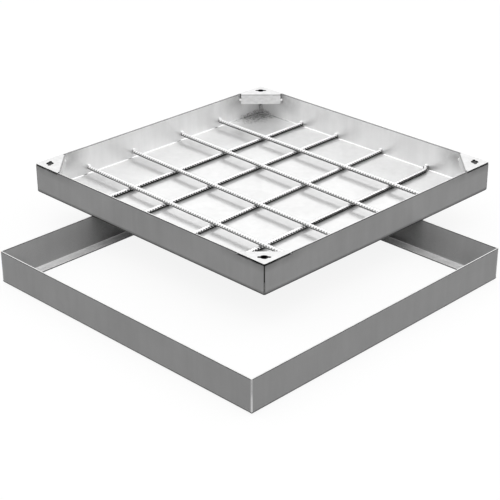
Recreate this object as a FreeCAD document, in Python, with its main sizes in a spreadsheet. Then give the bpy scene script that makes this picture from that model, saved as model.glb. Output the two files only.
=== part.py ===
import FreeCAD, Part
import os
import re
import Sketcher
from FreeCAD import Vector

# A recessed access cover. The frame is four mitred rails of bent steel angle, welded at the corners.
# The tray is one folded sheet with a lifting corner in each corner and two layers of bars inside.
# It is set down on the frame's top edges, moved back and to the left, as it lies when lifted out.
# The origin is the middle of the frame on the ground, +X to the right, +Y to the back and +Z up.

# Driving sizes, in millimetres, and turns, in degrees.
SIZES = {
    # Frame rails: a bent angle with its flange turned inwards at the bottom.
    "frame_side": 480,
    "frame_height": 48,
    "frame_flange": 15,
    "frame_sheet": 1.5,
    "frame_bend": 2,
    # The corner welds fill a groove on the outside and are ground off round.
    "groove_leg": 1.6,
    "groove_dressing": 0.6,
    # Tray pan, folded from one sheet with open corner seams.
    "tray_side": 472,
    "tray_height": 46,
    "tray_sheet": 1.5,
    "tray_bend": 2,
    "tray_seam_gap": 0.9,
    # How the tray lies on the frame.
    "tray_shift_x": -125.3,
    "tray_shift_y": 153.5,
    "tray_turn": -0.365,
    # Lifting corners: a triangular plate with a folded-down flange on its long side.
    "corner_leg": 52,
    "corner_sheet": 1.5,
    "corner_drop": 17,
    "corner_bend": 1,
    "corner_tip_round": 2,
    "corner_end_gap": 3,
    "notch_gap": 1,
    "notch_end_gap": 0.3,
    "keyhole_setback": 21,
    "keyhole_radius": 5,
    "keyhole_slot_length": 17,
    "keyhole_slot_width": 3.6,
    # Reinforcement bars with a rib along each side.
    "bar_diameter": 6,
    "bar_rib_rise": 0.4,
    "bar_rib_width": 1,
    "bar_end_gap": 1,
    "bar_pitch": 91,
    # Each bar is placed by hand: how far its middle is off the pitch, and how far its ends differ.
    "lower_shift_1": -1.5,
    "lower_shift_2": -14.5,
    "lower_shift_3": -7.6,
    "lower_shift_4": -1,
    "lower_drift_1": -3,
    "lower_drift_2": -5.3,
    "lower_drift_3": -13.8,
    "lower_drift_4": -10.6,
    "upper_shift_1": -6.2,
    "upper_shift_2": -8.2,
    "upper_shift_3": 3.6,
    "upper_shift_4": -0.2,
    "upper_drift_1": -7,
    "upper_drift_2": -9.1,
    "upper_drift_3": -10.3,
    "upper_drift_4": -3.5,
    # The far end of the last lower bar is bent sideways.
    "bent_end_radius": 22,
    "bent_end_sideways": 7,
    # Weld beads.
    "tack_radius": 2.2,
    "tack_length": 6,
    "tack_inset": 1.2,
    "tack_rise": 0.6,
    "corner_bead_radius": 2.4,
    "corner_bead_length": 5,
    "corner_bead_drop": 10,
    "seam_bead_radius": 2.4,
    "seam_bead_inset": 1.6,
    "seam_bead_length": 18,
}

# Lengths that follow from the sizes.
TRAY_SPAN = "(tray_side - 2 * tray_sheet)"
TRAY_FOLD = "(tray_bend + tray_sheet)"
FRAME_FOLD = "(frame_bend + frame_sheet)"
CORNER_FOLD = "(corner_bend + corner_sheet)"
PLATE_DEPTH = "(corner_leg * sqrt(0.5))"
FLANGE_FACE = f"({PLATE_DEPTH} + {CORNER_FOLD})"
FLANGE_HALF = f"({PLATE_DEPTH} + corner_bend - tray_sheet * sqrt(2) - corner_end_gap)"
BAR_HALF = "(bar_diameter / 2 + bar_rib_rise)"
LOWER_LEVEL = f"(tray_sheet + {BAR_HALF})"
UPPER_LEVEL = f"({LOWER_LEVEL} + bar_diameter + bar_rib_rise)"
BENT_TURN = "acos(1 - bent_end_sideways / bent_end_radius)"
BENT_SLANT = f"atan(0 - lower_drift_4 / {TRAY_SPAN})"
BENT_REACH = f"((bent_end_radius + {BAR_HALF}) * sin({BENT_TURN} + {BENT_SLANT}))"
BENT_BACK = f"({TRAY_SPAN} / 2 - bar_end_gap - {BENT_REACH})"
BENT_START = f"({BENT_BACK} + bent_end_radius * sin({BENT_SLANT}))"

CORNERS = ["front_left", "front_right", "back_right", "back_left"]
RAILS = ["front", "right", "back", "left"]
BARS = [1, 2, 3, 4]
BENT_BAR = 4

doc = FreeCAD.newDocument("RecessedCover")
sheet = doc.addObject("Spreadsheet::Sheet", "Sizes")
for row, (name, size) in enumerate(SIZES.items(), start=1):
    sheet.set(f"A{row}", name)
    sheet.set(f"B{row}", str(size))
    sheet.setAlias(f"B{row}", name)
doc.recompute()


def formula(text):
    """Point every size that text names at its cell."""
    return re.sub(r"[a-z]\w*", lambda word: f"Sizes.{word[0]}" if word[0] in SIZES else word[0], text)


def value(text):
    """What a formula comes to now."""
    return float(sheet.evalExpression(text))


def bind(thing, place, text):
    """Bind one property of a thing to a formula."""
    thing.setExpression(place, formula(text))


def put(thing, x, y, z, turn):
    """Place a thing at x, y, z, turned about the upright."""
    thing.Placement = FreeCAD.Placement(Vector(), FreeCAD.Rotation(Vector(0, 0, 1), 1))
    bind(thing, "Placement.Base.x", x)
    bind(thing, "Placement.Base.y", y)
    bind(thing, "Placement.Base.z", z)
    bind(thing, "Placement.Rotation.Angle", turn)


def put_in_tray(thing, x, y, z, turn="0"):
    """Place a thing by the tray's own axes, whose origin is the middle of the tray's underside."""
    along = f"tray_shift_x + ({x}) * cos(tray_turn) - ({y}) * sin(tray_turn)"
    across = f"tray_shift_y + ({x}) * sin(tray_turn) + ({y}) * cos(tray_turn)"
    put(thing, along, across, f"frame_height + {z}", f"tray_turn + {turn}")


def new_body(name):
    """An empty body that becomes one sub-part."""
    body = doc.addObject("PartDesign::Body", name)
    body.Label = name
    return body


def new_sketch(body, plane, name, x="0", z="0"):
    """A sketch on one of the body's own planes, moved along the plane by x and off it by z."""
    sketch = body.newObject("Sketcher::SketchObject", f"{body.Name}_{name}")
    origin_plane = next(item for item in body.Origin.OriginFeatures if item.Role == plane)
    sketch.AttachmentSupport = [(origin_plane, "")]
    sketch.MapMode = "FlatFace"
    bind(sketch, "AttachmentOffset.Base.x", x)
    bind(sketch, "AttachmentOffset.Base.z", z)
    return sketch


def pin(sketch, edge, end, x, y):
    """Hold one end of a sketch edge at x, y from the sketch's origin."""
    for kind, axis, text in (("DistanceX", -2, x), ("DistanceY", -1, y)):
        if text == "0":
            sketch.addConstraint(Sketcher.Constraint("PointOnObject", edge, end, axis))
            continue
        mark = sketch.addConstraint(Sketcher.Constraint(kind, -1, 1, edge, end, value(text)))
        bind(sketch, f"Constraints[{mark}]", text)


def outline(sketch, corners):
    """A closed straight-sided outline through corners, each a pair of formulas."""
    first = sketch.GeometryCount
    count = len(corners)
    spots = [Vector(value(x), value(y), 0) for x, y in corners]
    for index in range(count):
        sketch.addGeometry(Part.LineSegment(spots[index], spots[(index + 1) % count]))
    for index in range(count):
        follower = first + (index + 1) % count
        sketch.addConstraint(Sketcher.Constraint("Coincident", first + index, 2, follower, 1))
    for index, (x, y) in enumerate(corners):
        pin(sketch, first + index, 1, x, y)


def circle(sketch, radius, x="0", y="0"):
    """A circle round x, y."""
    ring = sketch.addGeometry(Part.Circle(Vector(value(x), value(y), 0), Vector(0, 0, 1), value(radius)))
    pin(sketch, ring, 3, x, y)
    mark = sketch.addConstraint(Sketcher.Constraint("Radius", ring, value(radius)))
    bind(sketch, f"Constraints[{mark}]", radius)


def upright_slot(sketch, length, width):
    """A round-ended slot about the sketch's origin, long along the sketch's upright axis."""
    reach = (value(length) - value(width)) / 2
    half = value(width) / 2
    normal = Vector(0, 0, 1)
    top = Part.Circle(Vector(0, reach, 0), normal, half)
    bottom = Part.Circle(Vector(0, -reach, 0), normal, half)
    half_turn = 3.141592653589793
    upper = sketch.addGeometry(Part.ArcOfCircle(top, 0, half_turn))
    lower = sketch.addGeometry(Part.ArcOfCircle(bottom, half_turn, 2 * half_turn))
    left = sketch.addGeometry(Part.LineSegment(Vector(-half, reach, 0), Vector(-half, -reach, 0)))
    right = sketch.addGeometry(Part.LineSegment(Vector(half, -reach, 0), Vector(half, reach, 0)))
    sketch.addConstraint(Sketcher.Constraint("Tangent", upper, 2, left, 1))
    sketch.addConstraint(Sketcher.Constraint("Tangent", left, 2, lower, 1))
    sketch.addConstraint(Sketcher.Constraint("Tangent", lower, 2, right, 1))
    sketch.addConstraint(Sketcher.Constraint("Tangent", right, 2, upper, 1))
    pin(sketch, upper, 3, "0", f"({length} - {width}) / 2")
    pin(sketch, lower, 3, "0", f"({width} - {length}) / 2")
    mark = sketch.addConstraint(Sketcher.Constraint("Radius", upper, half))
    bind(sketch, f"Constraints[{mark}]", f"{width} / 2")


def add_feature(kind, sketch, name):
    """A feature that sweeps a sketch, in the sketch's own body."""
    feature = sketch.getParentGeoFeatureGroup().newObject(f"PartDesign::{kind}", f"{sketch.Name}_{name}")
    feature.Profile = sketch
    return feature


def settle(feature, grows):
    """Recompute, and make sure that the feature adds or takes away metal as it should."""
    before = feature.BaseFeature.Shape.Volume if feature.BaseFeature else 0
    doc.recompute()
    if (feature.Shape.Volume > before) != grows:
        raise ValueError(f"{feature.Name} changes the volume from {before} to {feature.Shape.Volume}")


def pad(sketch, length, side="One side", backwards=False):
    """Add metal along the sketch's normal."""
    feature = add_feature("Pad", sketch, "pad")
    feature.SideType = side
    feature.Reversed = backwards
    bind(feature, "Length", length)
    settle(feature, grows=True)


def cut(sketch, depth=None, backwards=False):
    """Take metal away along the sketch's normal, to a depth or right through."""
    feature = add_feature("Pocket", sketch, "cut")
    feature.Reversed = backwards
    if depth is None:
        feature.Type = "ThroughAll"
    else:
        bind(feature, "Length", depth)
    settle(feature, grows=False)


def round_edges(body, name, radius, wanted):
    """Round the edges whose bounding boxes are wanted."""
    base = body.Tip
    edges = enumerate(base.Shape.Edges, start=1)
    chosen = [f"Edge{index}" for index, edge in edges if wanted(edge.BoundBox)]
    feature = body.newObject("PartDesign::Fillet", f"{body.Name}_{name}")
    feature.Base = (base, chosen)
    bind(feature, "Radius", radius)
    doc.recompute()


def near(measure, text):
    """Whether a measure is what a formula says."""
    return abs(measure - value(text)) < 0.001


def lies_at(low, high, text):
    """Whether a bounding box is flat, at what a formula says."""
    return near(low, text) and near(high, text)


def frame_rail(index):
    """One rail. It runs along its own X, with its outer face at y = 0 and its flange towards +Y."""
    body = new_body(f"frame_rail_{RAILS[index]}")
    section = new_sketch(body, "YZ_Plane", "section")
    outline(section, [
        ("0", "0"),
        ("frame_flange", "0"),
        ("frame_flange", "frame_sheet"),
        ("frame_sheet", "frame_sheet"),
        ("frame_sheet", "frame_height"),
        ("0", "frame_height"),
    ])
    pad(section, "frame_side", "Symmetric")
    round_edges(body, "outer_bend", FRAME_FOLD,
                lambda box: lies_at(box.YMin, box.YMax, "0") and lies_at(box.ZMin, box.ZMax, "0"))
    round_edges(body, "inner_bend", "frame_bend",
                lambda box: lies_at(box.YMin, box.YMax, "frame_sheet")
                and lies_at(box.ZMin, box.ZMax, "frame_sheet"))
    mitres = new_sketch(body, "XY_Plane", "mitres")
    for sign in ("", "-"):
        outline(mitres, [
            (f"{sign}(frame_side / 2 + frame_sheet)", "-frame_sheet"),
            (f"{sign}(frame_side / 2 + frame_sheet)", "frame_flange + frame_sheet"),
            (f"{sign}(frame_side / 2 - frame_flange - frame_sheet)", "frame_flange + frame_sheet"),
        ])
    cut(mitres, backwards=True)
    grooves = new_sketch(body, "XY_Plane", "grooves", z=FRAME_FOLD)
    for sign in ("", "-"):
        outline(grooves, [
            (f"{sign}(frame_side / 2 + frame_sheet)", "-frame_sheet"),
            (f"{sign}(frame_side / 2 + frame_sheet)", "groove_leg + frame_sheet"),
            (f"{sign}(frame_side / 2 - groove_leg - frame_sheet)", "-frame_sheet"),
        ])
    cut(grooves, backwards=True)
    turn = 90 * index
    put(body, f"frame_side / 2 * sin({turn})", f"-frame_side / 2 * cos({turn})", "0", f"{turn}")
    return body


def frame_corner_weld(index):
    """The dressed weld in one corner's groove. Its own X and Y run inwards along the two rails."""
    body = new_body(f"frame_corner_weld_{CORNERS[index]}")
    section = new_sketch(body, "XY_Plane", "section", z=FRAME_FOLD)
    outline(section, [("0", "0"), ("groove_leg", "0"), ("0", "groove_leg")])
    pad(section, f"frame_height - {FRAME_FOLD}")
    round_edges(body, "dressing", "groove_dressing",
                lambda box: lies_at(box.XMin, box.XMax, "0") and lies_at(box.YMin, box.YMax, "0"))
    turn = 90 * index
    across = f"frame_side / 2 * (sin({turn}) - cos({turn}))"
    along = f"-frame_side / 2 * (sin({turn}) + cos({turn}))"
    put(body, across, along, "0", f"{turn}")
    return body


def tray_pan():
    """The tray, folded up from one sheet: a flat floor, four walls and rounded folds between."""
    body = new_body("tray_pan")
    half = "tray_side / 2"
    inner = f"{TRAY_SPAN} / 2"
    signs = (("-", "-"), ("", "-"), ("", ""), ("-", ""))
    block = new_sketch(body, "XY_Plane", "block")
    outline(block, [(f"{x}{half}", f"{y}{half}") for x, y in signs])
    pad(block, "tray_height")
    round_edges(body, "outer_folds", TRAY_FOLD, lambda box: lies_at(box.ZMin, box.ZMax, "0"))
    hollow = new_sketch(body, "XY_Plane", "hollow", z="tray_height")
    outline(hollow, [(f"{x}{inner}", f"{y}{inner}") for x, y in signs])
    cut(hollow, "tray_height - tray_sheet")
    round_edges(body, "inner_folds", "tray_bend",
                lambda box: lies_at(box.ZMin, box.ZMax, "tray_sheet"))
    seams = new_sketch(body, "XY_Plane", "seams")
    step = "tray_seam_gap / 2 * sqrt(0.5)"
    near_x, far_x = f"{half} + tray_sheet", f"{half} - {TRAY_FOLD}"
    for x, y in signs:
        outline(seams, [
            (f"{x}({near_x} - {step})", f"{y}({near_x} + {step})"),
            (f"{x}({near_x} + {step})", f"{y}({near_x} - {step})"),
            (f"{x}({far_x} + {step})", f"{y}({far_x} - {step})"),
            (f"{x}({far_x} - {step})", f"{y}({far_x} + {step})"),
        ])
    cut(seams, backwards=True)
    notches = new_sketch(body, "XY_Plane", "notches", z="tray_height")
    outside, inside = f"({half} + tray_sheet)", f"({half} - corner_leg - notch_end_gap)"
    for x, y in signs:
        outline(notches, [
            (f"{x}{outside}", f"{y}{outside}"),
            (f"{x}{inside}", f"{y}{outside}"),
            (f"{x}{inside}", f"{y}{inside}"),
            (f"{x}{outside}", f"{y}{inside}"),
        ])
    cut(notches, "corner_sheet + notch_gap")
    put_in_tray(body, "0", "0", "0")
    return body


def tray_corner(turn):
    """Where the tray's corner lies that is a turn on from the front left one."""
    return (f"tray_side / 2 * (sin({turn}) - cos({turn}))", f"-tray_side / 2 * (sin({turn}) + cos({turn}))")


def lifting_corner(index):
    """One lifting corner. Its own X runs from the tip towards the tray's middle, its top is z = 0."""
    body = new_body(f"lifting_corner_{CORNERS[index]}")
    plate = new_sketch(body, "XY_Plane", "plate")
    outline(plate, [("0", "0"), (PLATE_DEPTH, f"-{PLATE_DEPTH}"), (PLATE_DEPTH, PLATE_DEPTH)])
    pad(plate, "corner_sheet", backwards=True)
    flange = new_sketch(body, "XZ_Plane", "flange")
    outline(flange, [
        (f"{PLATE_DEPTH} - corner_sheet", "0"),
        (FLANGE_FACE, "0"),
        (FLANGE_FACE, "-corner_drop"),
        (f"{FLANGE_FACE} - corner_sheet", "-corner_drop"),
        (f"{FLANGE_FACE} - corner_sheet", "-corner_sheet"),
        (f"{PLATE_DEPTH} - corner_sheet", "-corner_sheet"),
    ])
    pad(flange, f"2 * {FLANGE_HALF}", "Symmetric")
    round_edges(body, "outer_bend", CORNER_FOLD,
                lambda box: lies_at(box.XMin, box.XMax, FLANGE_FACE) and lies_at(box.ZMin, box.ZMax, "0"))
    round_edges(body, "inner_bend", "corner_bend",
                lambda box: lies_at(box.XMin, box.XMax, f"{FLANGE_FACE} - corner_sheet")
                and lies_at(box.ZMin, box.ZMax, "-corner_sheet"))
    round_edges(body, "tip", "corner_tip_round",
                lambda box: lies_at(box.XMin, box.XMax, "0") and lies_at(box.YMin, box.YMax, "0"))
    hole = new_sketch(body, "XY_Plane", "keyhole", x="keyhole_setback")
    circle(hole, "keyhole_radius")
    cut(hole, "corner_sheet")
    slot = new_sketch(body, "XY_Plane", "slot", x="keyhole_setback")
    upright_slot(slot, "keyhole_slot_length", "keyhole_slot_width")
    cut(slot, "corner_sheet")
    turn = 90 * index
    put_in_tray(body, *tray_corner(turn), "tray_height", f"{turn + 45}")
    return body


def bar_section(body, plane, x="0"):
    """The bar's round section and the flat section of its two side ribs."""
    core = new_sketch(body, plane, "core", x=x)
    circle(core, "bar_diameter / 2")
    ribs = new_sketch(body, plane, "ribs", x=x)
    width, rise = BAR_HALF, "bar_rib_width / 2"
    outline(ribs, [(f"-{width}", f"-{rise}"), (width, f"-{rise}"), (width, rise), (f"-{width}", rise)])
    return core, ribs


def straight_bar(name, drift):
    """A bar from wall to wall along its own X, with its middle at the origin."""
    body = new_body(name)
    slant = f"(atan({drift} / {TRAY_SPAN}) / 1 deg)"
    for sketch in bar_section(body, "YZ_Plane"):
        pad(sketch, f"{TRAY_SPAN} / cos({slant}) - 2 * bar_end_gap", "Symmetric")
    return body, slant


def bar_place(layer, index):
    """Where a bar's middle lies across the tray."""
    return f"(({index} - 2.5) * bar_pitch + {layer}_shift_{index})"


def lower_bar(index):
    """A bar that runs from the front wall to the back wall and lies on the floor of the tray."""
    drift = f"lower_drift_{index}"
    body, slant = straight_bar(f"lower_bar_{index}", drift)
    put_in_tray(body, bar_place("lower", index), "0", LOWER_LEVEL, f"90 - {slant}")
    return body


def bent_middle(index):
    """How far across the tray the middle of the bend is."""
    start = f"{bar_place('lower', index)} + lower_drift_{index} * {BENT_START} / {TRAY_SPAN}"
    return f"({start} - bent_end_radius * cos({BENT_SLANT}))"


def bent_bar_part(name, index):
    """A body whose origin is the middle of the last lower bar's bend, and the bar's sections."""
    body = new_body(name)
    sections = bar_section(body, "XZ_Plane", x="bent_end_radius")
    put_in_tray(body, bent_middle(index), BENT_BACK, LOWER_LEVEL, f"({BENT_SLANT} / 1 deg)")
    return body, sections


def bent_bar_straight(index):
    """The last lower bar, from the front wall to where it bends."""
    body, sections = bent_bar_part(f"lower_bar_{index}", index)
    for sketch in sections:
        pad(sketch, f"({BENT_START} + {TRAY_SPAN} / 2 - bar_end_gap) / cos({BENT_SLANT})")
    return body


def bent_bar_end(index):
    """The bent end of the last lower bar, which meets the straight part face to face."""
    body, sections = bent_bar_part(f"lower_bar_{index}_bent_end", index)
    for sketch in sections:
        feature = add_feature("Revolution", sketch, "bend")
        feature.ReferenceAxis = (body.Origin.OriginFeatures[2], [""])
        bind(feature, "Angle", BENT_TURN)
        settle(feature, grows=True)
    return body


def upper_bar(index):
    """A bar that runs from the left wall to the right wall, on top of the lower bars."""
    drift = f"upper_drift_{index}"
    body, slant = straight_bar(f"upper_bar_{index}", drift)
    put_in_tray(body, "0", bar_place("upper", index), UPPER_LEVEL, slant)
    return body


def bead(name, plane, radius, length):
    """A round bead of weld metal across a plane, before it is trimmed to what it joins."""
    body = new_body(name)
    section = new_sketch(body, plane, "section")
    circle(section, radius)
    pad(section, length, "Symmetric")
    return body


def trimmed(name, beads, joined):
    """Weld beads trimmed to the pieces that they join, as one group of separate solids."""
    welds = doc.addObject("Part::Compound", f"{name}_beads")
    welds.Links = beads
    for step, piece in enumerate(joined, start=1):
        trim = doc.addObject("Part::Cut", f"{name}_trim_{step}")
        trim.Base = welds
        trim.Tool = piece
        welds = trim
    welds.Label = name
    return welds


def bar_end_bead(name, x, y, level, turn):
    """A bead across the top of one bar end, along the wall that the end stands against."""
    tack = bead(name, "YZ_Plane", "tack_radius", "tack_length")
    put_in_tray(tack, x, y, f"{level} + bar_diameter / 2 + tack_rise", turn)
    return tack


def lower_bar_welds(pan, bars):
    """The beads at the lower bars' ends, along the front and back walls."""
    wall = f"({TRAY_SPAN} / 2 - tack_inset)"
    beads = []
    for index in BARS:
        middle = bar_place("lower", index)
        front = f"{middle} - lower_drift_{index} / 2"
        back = f"{middle} + lower_drift_{index} / 2"
        if index == BENT_BAR:
            back = f"{bent_middle(index)} + bent_end_radius * cos({BENT_TURN} + {BENT_SLANT})"
        beads.append(bar_end_bead(f"lower_front_bead_{index}", front, f"-{wall}", LOWER_LEVEL, "0"))
        beads.append(bar_end_bead(f"lower_back_bead_{index}", back, wall, LOWER_LEVEL, "0"))
    return trimmed("lower_bar_welds", beads, [pan] + bars)


def upper_bar_welds(pan, bars):
    """The beads at the upper bars' ends, along the left and right walls."""
    wall = f"({TRAY_SPAN} / 2 - tack_inset)"
    beads = []
    for index in BARS:
        middle = bar_place("upper", index)
        left = f"{middle} - upper_drift_{index} / 2"
        right = f"{middle} + upper_drift_{index} / 2"
        beads.append(bar_end_bead(f"upper_left_bead_{index}", f"-{wall}", left, UPPER_LEVEL, "90"))
        beads.append(bar_end_bead(f"upper_right_bead_{index}", wall, right, UPPER_LEVEL, "90"))
    return trimmed("upper_bar_welds", beads, [pan] + bars)


def lifting_corner_welds(pan, corners):
    """An upright bead at each end of each lifting corner's flange, in the gap to the wall."""
    reach = f"({FLANGE_FACE} - corner_sheet / 2)"
    aside = f"({FLANGE_HALF} + corner_end_gap / 2)"
    beads = []
    for index, corner in enumerate(CORNERS):
        turn = 90 * index
        tip_x, tip_y = tray_corner(turn)
        for end, sign in (("first", "-"), ("second", "")):
            x = f"{tip_x} + {reach} * cos({turn + 45}) - {sign}{aside} * sin({turn + 45})"
            y = f"{tip_y} + {reach} * sin({turn + 45}) + {sign}{aside} * cos({turn + 45})"
            tack = bead(f"{corner}_{end}_bead", "XY_Plane", "corner_bead_radius", "corner_bead_length")
            put_in_tray(tack, x, y, "tray_height - corner_bead_drop")
            beads.append(tack)
    return trimmed("lifting_corner_welds", beads, [pan] + corners)


def tray_seam_welds(pan):
    """A bead up the inside of the lower part of each corner seam."""
    place = f"({TRAY_SPAN} / 2 - seam_bead_inset)"
    beads = []
    for corner, x, y in zip(CORNERS, ("-", "", "", "-"), ("-", "-", "", "")):
        run = bead(f"{corner}_seam_bead", "XY_Plane", "seam_bead_radius", "seam_bead_length")
        put_in_tray(run, f"{x}{place}", f"{y}{place}", "tray_sheet + seam_bead_length / 2")
        beads.append(run)
    return trimmed("tray_seam_welds", beads, [pan])


parts = [frame_rail(index) for index in range(len(RAILS))]
parts += [frame_corner_weld(index) for index in range(len(CORNERS))]
pan = tray_pan()
corners = [lifting_corner(index) for index in range(len(CORNERS))]
lower_bars = [bent_bar_straight(index) if index == BENT_BAR else lower_bar(index) for index in BARS]
lower_bars.append(bent_bar_end(BENT_BAR))
upper_bars = [upper_bar(index) for index in BARS]
parts += [pan] + corners + lower_bars + upper_bars
parts.append(lower_bar_welds(pan, lower_bars))
parts.append(upper_bar_welds(pan, upper_bars))
parts.append(lifting_corner_welds(pan, corners))
parts.append(tray_seam_welds(pan))
doc.recompute()

for item in doc.Objects:
    if {"Invalid", "Error"} & set(item.State):
        raise RuntimeError(f"{item.Name} failed: {item.State}")
for part in parts:
    if part.Shape.isNull() or not part.Shape.isValid():
        raise RuntimeError(f"{part.Label} has no valid shape")

os.makedirs("parts", exist_ok=True)
for part in parts:
    part.Shape.exportStep(f"parts/{part.Label}.step")
    box = part.Shape.BoundBox
    print(f"{part.Label}: {len(part.Shape.Solids)} solids, {part.Shape.Volume:.0f} mm3,"
          f" {box.XLength:.1f} x {box.YLength:.1f} x {box.ZLength:.1f} mm")
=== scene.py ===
# %% [markdown]
# # A recessed cover in bright zinc, on its frame
# This cover is a folded steel tray that is later filled with paving. It lies on its own frame, as
# it does when it has been lifted out. The sheets, bars and welds come ready from the CAD model.
# Blender adds what that model leaves out: the cross ribs on the bars, the ripples and the roots of
# the welds, the roots painted dark as painted shade, and the look of the zinc, with light and shade
# painted into it in places.

# %% Load the model
import math

import bpy
from mathutils import Matrix, Vector


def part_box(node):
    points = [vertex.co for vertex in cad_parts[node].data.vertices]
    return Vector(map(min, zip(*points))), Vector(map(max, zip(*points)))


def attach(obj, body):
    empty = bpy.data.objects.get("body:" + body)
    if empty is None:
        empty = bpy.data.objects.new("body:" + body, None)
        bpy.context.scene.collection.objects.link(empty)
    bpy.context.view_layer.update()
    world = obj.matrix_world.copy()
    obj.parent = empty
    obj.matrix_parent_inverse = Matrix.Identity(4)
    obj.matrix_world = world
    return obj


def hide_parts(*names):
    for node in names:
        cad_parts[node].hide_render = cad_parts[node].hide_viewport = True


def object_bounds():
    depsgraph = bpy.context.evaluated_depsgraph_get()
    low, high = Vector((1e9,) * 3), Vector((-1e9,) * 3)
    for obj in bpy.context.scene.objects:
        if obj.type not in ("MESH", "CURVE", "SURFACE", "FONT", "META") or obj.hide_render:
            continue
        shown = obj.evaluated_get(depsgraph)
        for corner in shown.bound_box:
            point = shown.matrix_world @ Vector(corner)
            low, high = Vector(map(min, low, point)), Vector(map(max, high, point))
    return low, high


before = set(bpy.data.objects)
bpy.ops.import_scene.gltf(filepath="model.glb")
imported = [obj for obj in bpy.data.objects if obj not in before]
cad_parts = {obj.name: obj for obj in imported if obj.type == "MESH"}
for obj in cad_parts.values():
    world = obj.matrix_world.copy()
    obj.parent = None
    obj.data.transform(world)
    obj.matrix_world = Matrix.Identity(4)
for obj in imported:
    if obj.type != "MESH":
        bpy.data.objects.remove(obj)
cad_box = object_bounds()
MM = 0.001
size_mm = [(high - low) / MM for low, high in zip(*cad_box)]
print(f"{len(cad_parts)} nodes, {size_mm[0]:.0f} x {size_mm[1]:.0f} x {size_mm[2]:.0f} mm")

# %% [markdown]
# ## Where the tray lies
# The frame stands square at the origin. The tray was put down by hand, so it lies a little
# turned, back and to the left. The bars, the welds and the zinc's pattern all follow the tray's
# own axes, so one matrix takes a point from those axes into the scene.

# %% The tray's own axes
TRAY_MIDDLE = Vector((-125.3, 153.5, 48.0)) * MM
TRAY_TURN = math.radians(-0.365)
TRAY_HALF = 236.0 * MM
WALL_INSIDE = 234.5 * MM
to_scene = Matrix.Translation(TRAY_MIDDLE) @ Matrix.Rotation(TRAY_TURN, 4, "Z")
tray_low, tray_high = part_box("tray_pan")
off_centre = ((tray_low + tray_high) / 2 - TRAY_MIDDLE) / MM
print(f"the tray's middle is {off_centre.x:.2f}, {off_centre.y:.2f} mm from where it should be")

# %% [markdown]
# ## The camera
# The cover is seen from about 26 degrees above the ground, with the frame's front corner
# nearest. A long lens from two metres keeps the sides nearly parallel. The camera is built from
# its own three axes, because a small roll is easier to add to them than to Euler angles.

# %% Set up the camera
AIM = Vector((0.0, 0.0, 46.0)) * MM
DISTANCE = 1937.127 * MM
AZIMUTH = math.radians(44.7312)
ELEVATION = math.radians(26.166)
ROLL = math.radians(-0.2419)
FOCAL_LENGTH, SENSOR_WIDTH = 102.3065, 36.0
SHIFT_X, SHIFT_Y = 0.000615, 0.00196
backwards = Vector((
    math.sin(AZIMUTH) * math.cos(ELEVATION),
    -math.cos(AZIMUTH) * math.cos(ELEVATION),
    math.sin(ELEVATION),
))
level_right = Vector((math.cos(AZIMUTH), math.sin(AZIMUTH), 0.0))
level_up = backwards.cross(level_right)
right = level_right * math.cos(ROLL) + level_up * math.sin(ROLL)
up = level_up * math.cos(ROLL) - level_right * math.sin(ROLL)
lens = bpy.data.cameras.new("camera")
lens.lens, lens.sensor_width = FOCAL_LENGTH, SENSOR_WIDTH
lens.shift_x, lens.shift_y = SHIFT_X, SHIFT_Y
camera = bpy.data.objects.new("camera", lens)
turned = Matrix((right, up, backwards)).transposed().to_4x4()
camera.matrix_world = Matrix.Translation(AIM + backwards * DISTANCE) @ turned
bpy.context.scene.collection.objects.link(camera)
bpy.context.scene.camera = camera
print(f"camera at {tuple(round(x, 3) for x in camera.matrix_world.translation)} m")

# %% [markdown]
# ## Colours and nodes
# Colours are written as the hex values that a picture shows. Blender mixes light with linear
# values, so one function turns one into the other. Another function adds a node to any tree,
# with its settings, its links and, for a colour ramp, its stops. So a tree reads from top to
# bottom, one call for each node. The third finds the rays to which the studio is plain white.

# %% Three helpers


def colour(hex_code):
    """An sRGB hex value as a linear colour."""
    channels = [int(hex_code[i:i + 2], 16) / 255 for i in (1, 3, 5)]
    linear = [c / 12.92 if c <= 0.04045 else ((c + 0.055) / 1.055) ** 2.4 for c in channels]
    return (*linear, 1.0)


def add(tree, kind, inputs=None, stops=(), **settings):
    """Add a node. An input is given a value, an output, or a node, for its first output."""
    node = tree.nodes.new(kind)
    for name, setting in settings.items():
        setattr(node, name, setting)
    for number, (position, hex_code) in enumerate(stops):
        ramp = node.color_ramp.elements
        stop = ramp[number] if number < 2 else ramp.new(position)
        stop.position = position
        stop.color = colour(hex_code)
    sockets = [socket for socket in node.inputs if socket.enabled]
    for key, given in (inputs or {}).items():
        named = [socket for socket in sockets if key in (socket.name, socket.identifier)]
        socket = sockets[key] if isinstance(key, int) else named[0]
        if isinstance(given, bpy.types.Node):
            given = next(output for output in given.outputs if output.enabled)
        if isinstance(given, bpy.types.NodeSocket):
            tree.links.new(given, socket)
        else:
            socket.default_value = given
    return node


def rays_that_see_white(tree):
    """One for the rays that show the white studio itself: camera, glossy and transmission."""
    ray = add(tree, "ShaderNodeLightPath").outputs
    seen = add(tree, "ShaderNodeMath", {0: ray["Is Camera Ray"], 1: ray["Is Glossy Ray"]},
               operation="ADD")
    return add(tree, "ShaderNodeMath", {0: seen, 1: ray["Is Transmission Ray"]},
               operation="ADD", use_clamp=True)


print("mid grey #808080 is", round(colour("#808080")[0], 3), "in linear light")

# %% [markdown]
# ## Light
# The cover was lit from a large soft source almost straight above it: the tray's floor is nearly
# white, the walls are grey, and no shadow has an edge. The soft grey stripes in front of the
# upper bars are not shadows but the bars' mirror images in the half-glossy floor. A wide sun lamp
# gives that light evenly wherever the cover stands. The world fills the shadows, and shows as
# plain white to the camera and in reflections, as a white studio does.

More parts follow.
